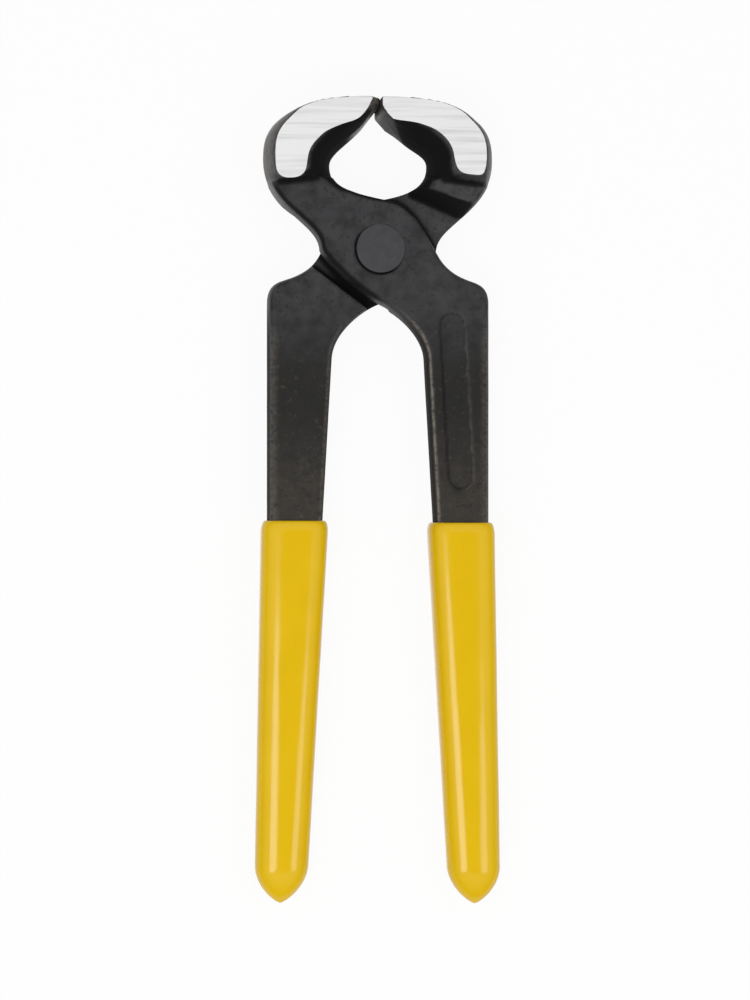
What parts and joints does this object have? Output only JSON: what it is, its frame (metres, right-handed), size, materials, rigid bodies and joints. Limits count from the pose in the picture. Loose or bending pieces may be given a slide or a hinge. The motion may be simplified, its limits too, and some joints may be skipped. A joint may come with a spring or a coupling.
{
  "type": "end cutting nippers",
  "caption": "End cutting nippers (carpenter's pincers): crossed black forged levers on a rivet, bright ground jaw faces, yellow dipped grips, jaws that open and close.",
  "frame": {"origin": "middle of the tool's length and width, on the plane that the rear ground faces of the closed jaws lie on", "axes": "+X to the right across the handles, +Y from the grip tips to the cutting edges, +Z out of the front plate along the rivet"},
  "size_m": [0.0612, 0.2, 0.018],
  "materials": {
    "forged_steel": "drop-forged carbon steel, black oxide, with the jaw faces ground bright",
    "rivet_steel": "peened steel rivet, black oxide",
    "grip_pvc": "glossy dip-moulded PVC"
  },
  "bodies": {
    "front_lever": {"front_half": "forged_steel", "right_grip": "grip_pvc", "pivot_rivet": "rivet_steel"},
    "rear_lever": {"rear_half": "forged_steel", "left_grip": "grip_pvc"}
  },
  "joints": [
    {"name": "jaw_pivot", "type": "hinge", "parent": "front_lever", "child": "rear_lever", "pos_m": [0, 0.0627, 0.009], "axis": [0, 0, -1], "range_deg": [0, 24]}
  ]
}
